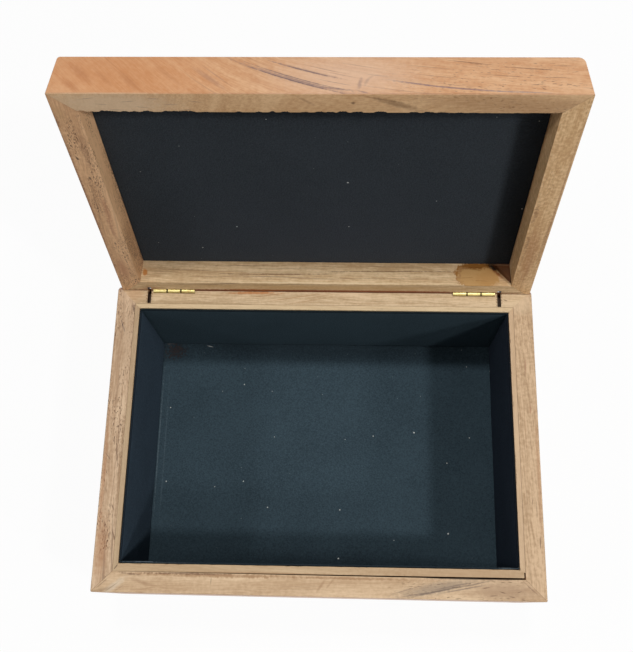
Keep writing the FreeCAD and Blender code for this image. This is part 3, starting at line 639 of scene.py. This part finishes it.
def wornCopy(node, body, onLid, arris, seed):
    source = frame["nodes"][node]
    piece = bpy.data.objects.new(node + "_worn", source.data.copy())
    scene.collection.objects.link(piece)
    if onLid:
        piece.data.transform(toShut)
    bpy.ops.object.select_all(action="DESELECT")
    piece.select_set(True)
    bpy.context.view_layer.objects.active = piece
    bpy.ops.mesh.customdata_custom_splitnormals_clear()
    bpy.ops.object.mode_set(mode="EDIT")
    bpy.ops.mesh.select_all(action="SELECT")
    bpy.ops.mesh.remove_doubles(threshold=wear["weld"])
    bpy.ops.mesh.dissolve_limited(angle_limit=wear["flat"])
    bpy.ops.object.mode_set(mode="OBJECT")
    selectEdges(piece.data, arris)
    bpy.ops.object.mode_set(mode="EDIT")
    for cuts in wear["cuts"]:
        bpy.ops.mesh.subdivide(number_cuts=cuts, ngon=True)
    bpy.ops.mesh.bevel(offset=arris["reach"], segments=1, affect="EDGES", clamp_overlap=False)
    bpy.ops.object.mode_set(mode="OBJECT")
    chip(piece.data, arris, seed)
    if onLid:
        piece.data.transform(toShut.inverted())
    bpy.ops.object.shade_smooth_by_angle(angle=wear["smooth"])
    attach(piece, body)
    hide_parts(node)


def selectEdges(mesh, arris):
    for group in (mesh.vertices, mesh.edges, mesh.polygons):
        for item in group:
            item.select = False
    count = 0
    for edge in mesh.edges:
        ends = [mesh.vertices[i].co for i in edge.vertices]
        if all(arris["where"](end) for end in ends):
            edge.select = True
            for i in edge.vertices:
                mesh.vertices[i].select = True
            count += 1
    print("edges to wear:", count)


# After the bevel each point of the arris is two, on the flat face and on the side, and both move by the same bite
def chip(mesh, arris, seed):
    run, out, away, level, down = arris["run"], arris["out"], arris["away"], arris["level"], arris["down"]
    start, end = arris["fades"]
    first, second = wear["torn"]
    picked = [vert for vert in mesh.vertices if vert.select]
    low = min(vert.co[run] for vert in picked) + wear["ends"]
    high = max(vert.co[run] for vert in picked) - wear["ends"]
    for vert in picked:
        at = vert.co[run]
        if not low < at < high:
            continue
        fine = noise.noise(Vector((at * wear["fine"], seed, 0.3)))
        torn = noise.noise(Vector((at * first, seed, 7.7)))
        torn += wear["second"] * noise.noise(Vector((at * second, seed, 2.9)))
        torn = min(max((torn - arris["whole"]) / wear["soft"], 0.0), 1.0)
        torn *= 1 - wear["fade"] * min(max((at - start) / (end - start), 0.0), 1.0)
        bite = wear["nick"][0] + wear["nick"][1] * fine
        bite += torn * (wear["chip"][0] + wear["chip"][1] * fine) * arris["ragged"]
        shift = arris["reach"] * (min(max(bite, wear["least"]), wear["most"]) - 1)
        if abs(vert.co.z - level) < arris["reach"] * 0.3:
            vert.co[out] += away * shift
        else:
            vert.co.z += down * shift


# the lid's front rail, where the felt was trimmed; towards the right the edge is better
lidFrontInner = lidFeltLow.y / perMetre
lidMating = lidLow.z / perMetre
nearEdge = 0.0004
wornCopy("lid_front_rail", "lid", True, {
    "where": lambda co: abs(co.z - lidMating) < wear["near"] and abs(co.y - lidFrontInner) < nearEdge,
    "run": 0, "out": 1, "away": -1, "level": lidMating, "down": 1, "reach": 0.0005, "ragged": 1.7, "whole": -0.1,
    "fades": (0.045, 0.07)}, 4.2)

# the liners' inner arrises; the front liner is crooked, so its arris needs more room
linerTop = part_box("liner_back")[1].z
crookedEdge = 0.0011
inward = {"front": (0, 1, -1), "back": (0, 1, 1), "left": (1, 0, -1), "right": (1, 0, 1)}
for number, (side, (run, out, away)) in enumerate(inward.items()):
    low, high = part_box("liner_" + side)
    inner = low[out] if away > 0 else high[out]
    slack = crookedEdge if side == "front" else nearEdge
    wornCopy("liner_" + side, "base", False, {
        "where": lambda co: abs(co.z - linerTop) < wear["near"] and abs(co[out] - inner) < slack,
        "run": run, "out": out, "away": away, "level": linerTop, "down": -1, "reach": 0.0003, "ragged": 1.6,
        "whole": 0.1, "fades": (1.0, 2.0)}, 11.3 + number)
print("edges worn")


# Brass, dull in places, with painted shade along both sides of the barrel, seen from above, and where two knuckles
# meet
brassLook = {"dull": (0.35, 0.9), "worn": 3.0, "lean": 0.4, "barrel": (0.75, 1.2), "meets": (0.75, 0.35),
             "barrelShade": tone(60, 44, 26), "barrelShadeShare": 0.85, "dullRough": 0.18, "wornRough": 0.12, "barrelShadeRough": 0.3}


def brassMaterial(name, look):
    made, shader, wire, (x, y, z) = newMaterial(name)
    along, across = brassLook["dull"]
    fine = brassLook["worn"]
    dull = wire.cloud(x * along, y * across, z * across, 3.0).step(0.45, 0.7)
    worn = wire.cloud(x * fine, y * fine, z * fine, 3.0) - 0.5
    middle = hingePoint.y * perMetre - brassLook["lean"]
    barrelShade = (abs(y - middle) + worn * 0.5).step(*brassLook["barrel"])
    meets = abs(abs(abs(x) - look["middle"]) - look["meet"])
    barrelShade = barrelShade.most(meets.step(*brassLook["meets"]))
    colour = dull.blend(look["bright"], look["dull"])
    feed(wire, shader, "Base Color", (barrelShade * brassLook["barrelShadeShare"]).blend(colour, brassLook["barrelShade"]))
    rough = dull * brassLook["dullRough"] + look["rough"] + worn * brassLook["wornRough"]
    feed(wire, shader, "Roughness", (rough + barrelShade * brassLook["barrelShadeRough"]).least(1.0))
    bump(wire, shader, worn, 0.00005, 0.4)
    shader.inputs["Metallic"].default_value = 1.0
    return made


pinLow, pinHigh = boxOf(["right_hinge_pin"])
knuckles = {"middle": (pinLow.x + pinHigh.x) / 2, "meet": (pinHigh.x - pinLow.x) / 6}
brightBrass = dict(knuckles, bright=tone(224, 208, 142), dull=tone(182, 156, 98), rough=0.3)
# the pins are painted near black: painted shade in the gaps between the knuckles
pinShadeBrass = dict(knuckles, bright=tone(70, 54, 36), dull=tone(44, 34, 24), rough=0.5)
brass = brassMaterial("hinge_brass", brightBrass)
darkBrass = brassMaterial("pin_brass", pinShadeBrass)
for node in frame["nodes"]:
    if "_hinge_" in node:
        dress(node, darkBrass if node.endswith("_pin") else brass)
print("hinges dressed")


# Felt with a short nap: specks says how bright the dust on it is, cells how many specks to a millimetre at most
plainFelt = {"deep": tone(36, 46, 53), "nap": tone(60, 75, 84), "lint": tone(220, 222, 218),
             "edge": tone(10, 12, 14), "specks": 0.0, "cells": 0.062, "marks": ()}
feltScale = {"nap": 1.1, "patch": 0.03, "fray": 0.8}
speckLook = {"share": (0.62, 0.64), "size": (0.35, 0.2), "edge": 0.15, "fray": 0.8, "bright": (0.7, 0.25)}


def feltMaterial(name, onLid, changes):
    look = dict(plainFelt, **changes)
    made, shader, wire, place = newMaterial(name, onLid)
    x, y, z = place

    def cloudy(layer, detail, rough):
        fine = feltScale[layer]
        return wire.cloud(x * fine, y * fine, z * fine, detail, rough)

    nap = cloudy("nap", 3.0, 0.65)
    patch = cloudy("patch", 3.0, 0.6)
    colour = (nap * 1.6 + patch * 0.4 - 0.5).least(1.0).most(0.0).blend(look["deep"], look["nap"])
    fray = cloudy("fray", 2.0, 0.5) - 0.5
    if "darkFrom" in look:
        low, strength = look["darkFrom"]
        colour = ((z + fray * 0.8).step(low, low + 1.2) * strength).blend(colour, look["edge"])
    for one in look["marks"]:
        colour = spot(place, one, fray).blend(colour, one["tint"])
    # white fibres and specks of dust, at most one to a cell
    if look["specks"]:
        cell = {"Vector": wire.vector(x, y, 0.0), "Scale": look["cells"], "Randomness": 1.0}
        far = wire.node("TexVoronoi", {"voronoi_dimensions": "2D"}, cell, "Distance")
        pick = wire.node("TexVoronoi", {"voronoi_dimensions": "2D"}, cell, "Color")
        kept = wire.node("SeparateColor", {}, {0: pick}, 0)
        size = wire.node("SeparateColor", {}, {0: pick}, 1)
        grows, least = speckLook["size"]
        reach = (size * size * grows + least) * look["cells"]
        speck = (far + fray * reach * speckLook["fray"] - reach).step(0.0, -speckLook["edge"] * look["cells"])
        grows, least = speckLook["bright"]
        speck = speck * kept.step(*speckLook["share"]) * (size * size * grows + least) * look["specks"]
        colour = speck.blend(colour, look["lint"])
    feed(wire, shader, "Base Color", colour)
    shader.inputs["Roughness"].default_value = 1.0
    shader.inputs["Specular IOR Level"].default_value = 0.05
    bump(wire, shader, nap, 0.0005, 0.8)
    return made


# A sheet of felt lies in the space of its solid: a grid with a wavy face and frayed edges, then thickness
feltSheet = {"cell": 0.004, "wave": 0.00016, "waves": 28, "fray": 0.00022, "frays": 170, "thick": 0.0009,
             "round": 0.0003, "rounds": math.radians(50), "smooth": math.radians(40)}
# how far the face of a sheet lies from its board
feltRise = feltSheet["thick"] + feltSheet["wave"] * 1.5


def feltPiece(name, node, place, width, length, seed, material, body):
    bpy.ops.object.select_all(action="DESELECT")
    bpy.ops.mesh.primitive_grid_add(
        x_subdivisions=max(2, round(width / feltSheet["cell"])),
        y_subdivisions=max(2, round(length / feltSheet["cell"])), size=1.0)
    piece = bpy.context.object
    piece.name = name
    bpy.ops.object.mode_set(mode="EDIT")
    bpy.ops.transform.resize(value=(width, length, 1.0))
    bpy.ops.object.mode_set(mode="OBJECT")
    rand = random.Random(seed)
    # without a seed this noise would start from the clock
    noise.seed_set(seed)
    offset = Vector((rand.uniform(0, 50), rand.uniform(0, 50), rand.uniform(0, 50)))
    for vert in piece.data.vertices:
        edgeX = abs(vert.co.x) > width / 2 - 1e-5
        edgeY = abs(vert.co.y) > length / 2 - 1e-5
        grain = noise.noise_vector(vert.co * feltSheet["frays"] + offset)
        if edgeX:
            vert.co.x -= math.copysign(feltSheet["fray"] * (0.6 + 0.6 * grain.x), vert.co.x)
        if edgeY:
            vert.co.y -= math.copysign(feltSheet["fray"] * (0.6 + 0.6 * grain.y), vert.co.y)
        vert.co.z = feltSheet["wave"] * noise.noise(vert.co * feltSheet["waves"] + offset)
    thick = piece.modifiers.new("thick", "SOLIDIFY")
    thick.thickness = feltSheet["thick"]
    thick.offset = -1.0
    soft = piece.modifiers.new("soft", "BEVEL")
    soft.width = feltSheet["round"]
    soft.segments = 2
    soft.angle_limit = feltSheet["rounds"]
    for modifier in ("thick", "soft"):
        bpy.ops.object.modifier_apply(modifier=modifier)
    piece.matrix_world = place
    bpy.ops.object.transform_apply(location=True, rotation=True, scale=True)
    bpy.ops.object.shade_smooth_by_angle(angle=feltSheet["smooth"])
    piece.data.materials.append(material)
    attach(piece, body)
    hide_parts(node)
    return piece


dust = tone(66, 56, 54)
floorMarks = [
    # dark bands along the back and the front of the floor: painted shadows of the walls
    mark("xy", (0, 74), (150, 17), 0, tone(16, 20, 24), 0.5, 0.7),
    mark("xy", (0, -75), (150, 20), 0, tone(20, 25, 30), 0.45, 0.7),
    mark("xy", (-101, 69), (9, 8), 0, tone(30, 28, 30), 0.6, 0.9, 0, 1.6),
    mark("xy", (-102, 68), (8, 6), 0, dust, 0.7, 0.9, 0, 3.4),
    mark("xy", (-106, 74), (3, 2.4), 30, tone(96, 92, 92), 0.5, 0.9, 0, 3.0),
    mark("xy", (-78.6, 72), (2.8, 0.4), -12, tone(190, 190, 186), 0.8),
    mark("xy", (-108.4, 6), (62, 0.6), 90, tone(100, 114, 122), 0.5, 0.9, 0.4, 1.6),
    mark("xy", (-105.0, 2), (66, 0.6), 90, tone(92, 106, 114), 0.35, 0.9, -0.4, 1.8),
]
floorLook = {"deep": tone(39, 50, 57), "nap": tone(66, 83, 92), "specks": 1.0, "marks": floorMarks}
floorCloth = feltMaterial("floor_felt", False, floorLook)
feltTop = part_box("felt_back")[1].z * perMetre - 2.0
frayed = [mark("xy", (-99, -72.2), (13, 0.5), 0, tone(116, 126, 132), 0.7, 0.8, 0, 1.4),
          mark("xy", (-84, -73.1), (30, 0.5), 0, tone(104, 114, 120), 0.6, 0.8, 0, 1.4),
          mark("xy", (104, -71.8), (7, 0.5), 0, tone(104, 114, 120), 0.5, 0.8, 0, 1.4)]
wallCloths = {
    "front": {"darkFrom": (feltTop, 0.5), "marks": frayed},
    "back": {"deep": tone(43, 55, 62), "nap": tone(68, 85, 94), "darkFrom": (feltTop, 0.8)},
    "left": {"deep": tone(42, 52, 62), "nap": tone(66, 81, 94), "darkFrom": (feltTop, 0.7)},
    "right": {"deep": tone(32, 38, 48), "nap": tone(52, 62, 74), "darkFrom": (feltTop, 0.8)},
}
lidLook = {
    "deep": tone(41, 45, 49), "nap": tone(58, 64, 70), "specks": 0.7, "cells": 0.045,
    # the lighter middle and lower part is painted light; the dark bands at the right rail and at the front rail are
    # painted shadows of those rails
    "marks": [mark("xy", (0, 0), (150, 110), 0, tone(70, 73, 80), 0.35, 0.9),
              mark("xy", (111, -86), (110, 17), 90, tone(8, 8, 9), 0.55, 0.7),
              mark("xy", (0, -163), (150, 29), 0, tone(14, 14, 15), 0.75, 0.8)]}
lidCloth = feltMaterial("lid_felt_cloth", True, lidLook)

# the front board stands crooked, and its felt with it: how far it runs back from left to right
frontCorners = [vert.co for vert in frame["nodes"]["felt_front"].data.vertices]
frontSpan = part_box("felt_front")[1].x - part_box("felt_front")[0].x
crooked = min(point.y for point in frontCorners if point.x > 0) - min(point.y for point in frontCorners)

low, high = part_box("felt_floor")
low.y += crooked
middle, span = (low + high) / 2, high - low
onFloor = Matrix.Translation((middle.x, middle.y, low.z + feltRise))
floorFelt = feltPiece("floor_felt", "felt_floor", onFloor, span.x, span.y, 1, floorCloth, "base")

# each wall sheet stands with its face to the inside, the left and right ones between the other two
cornerRoom = 0.0003
standing = Matrix.Rotation(math.radians(90), 4, "X")
upright = {"front": (180, 1), "back": (0, 1), "left": (90, 0), "right": (-90, 0)}
for number, (side, (degrees, axis)) in enumerate(upright.items(), start=2):
    turn = Matrix.Rotation(math.radians(degrees), 4, "Z") @ standing
    low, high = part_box("felt_" + side)
    middle, span = (low + high) / 2, high - low
    middle[axis] = low[axis] + feltRise if side in ("front", "left") else high[axis] - feltRise
    width = span.x if axis == 1 else span.y - 2 * (feltSheet["thick"] + cornerRoom)
    if side == "front":
        middle.y += crooked / 2
        turn = Matrix.Rotation(math.atan2(crooked, frontSpan), 4, "Z") @ turn
    wallFelt = feltPiece(side + "_felt", "felt_" + side, Matrix.Translation(middle) @ turn, width, span.z, number,
                         feltMaterial(side + "_felt", False, wallCloths[side]), "base")
    "liner_" + side

low, high = lidFeltLow / perMetre, lidFeltHigh / perMetre
middle, span = (low + high) / 2, high - low
underLid = Matrix.Translation((middle.x, middle.y, high.z - feltRise)) @ Matrix.Rotation(math.radians(180), 4, "X")
lidLining = feltPiece("lid_lining", "lid_felt", toShut.inverted() @ underLid, span.x, span.y, 6, lidCloth, "lid")
print("felt laid")


# Stage, light and camera: what the camera, a reflection or clear glass sees of the studio is white
def seenDirectly(wire):
    path = wire.tree.nodes.new("ShaderNodeLightPath")
    straight, glossy, clear = [Wire(wire.tree, path.outputs["Is %s Ray" % kind])
                               for kind in ("Camera", "Glossy", "Transmission")]
    return straight.most(glossy).most(clear)


studio = {"floor": 8.0, "whiteness": 0.95, "ambient": 0.135}


def stageMaterial():
    made, shader, wire, (x, y, z) = newMaterial("pale_floor")
    shader.inputs["Roughness"].default_value = 0.9
    grain = wire.cloud(x * 0.01, y * 0.01, z, 3.0)
    feed(wire, shader, "Base Color", grain.blend(tone(214, 214, 214), tone(220, 220, 220)))
    white = wire.node("Emission", {}, {"Color": (1, 1, 1, 1), "Strength": 1.0})
    bright = seenDirectly(wire) * studio["whiteness"]
    mixed = wire.node("MixShader", {}, {0: bright, 1: Wire(wire.tree, shader.outputs[0]), 2: white})
    wire.tree.links.new(mixed.socket, wire.tree.nodes["Material Output"].inputs["Surface"])
    return made


bpy.ops.object.select_all(action="DESELECT")
bpy.ops.mesh.primitive_plane_add(size=studio["floor"], location=(0, 0, 0))
ground = bpy.context.object
ground.name = "pale_floor"
ground.data.materials.append(stageMaterial())

world = bpy.data.worlds.new("studio")
scene.world = world
world.use_nodes = True
air = Wire(world.node_tree)
sky = world.node_tree.nodes["Background"]
feed(air, sky, "Strength", seenDirectly(air) * (1.0 - studio["ambient"]) + studio["ambient"])
sky.inputs["Color"].default_value = (1, 1, 1, 1)

# level is how bright the lamp alone makes a white sheet that lies flat
lamps = {
    "key": {"towards": (0.57, -0.31, 1.0), "far": 2.2, "size": 0.16, "level": 0.296},
    "overhead": {"towards": (0.0, 0.2, 1.0), "far": 2.2, "size": 0.16, "level": 0.315},
    "left": {"towards": (-0.92, -0.1, 1.0), "far": 2.2, "size": 0.2, "level": 0.105},
    "right": {"towards": (1.07, -0.67, 1.0), "far": 2.2, "size": 0.2, "level": 0.12},
}
for name, lamp in lamps.items():
    towards = Vector(lamp["towards"]).normalized()
    bpy.ops.object.light_add(type="AREA", location=towards * lamp["far"])
    light = bpy.context.object
    light.name = name
    light.rotation_euler = (-towards).to_track_quat("-Z", "Y").to_euler()
    light.data.size = lamp["size"]
    light.data.energy = lamp["level"] / towards.z * (math.pi * lamp["far"]) ** 2

# focal length and middle row in pixels of the 633 by 652 picture
picture = {"height": 652, "focal": 948.7, "middleRow": 285.6}
camera = {"place": (0.01743, -0.09356, 0.62841), "turn": (0.32542, 0.03959, 0.02307)}
bpy.ops.object.camera_add(location=camera["place"])
eye = bpy.context.object
eye.rotation_mode = "ZXY"
eye.rotation_euler = camera["turn"]
eye.data.sensor_width = 36.0
eye.data.lens = picture["focal"] * eye.data.sensor_width / picture["height"]
eye.data.shift_y = (picture["middleRow"] - picture["height"] / 2) / picture["height"]
eye.data.clip_start = 0.01
scene.camera = eye
print("stage set")
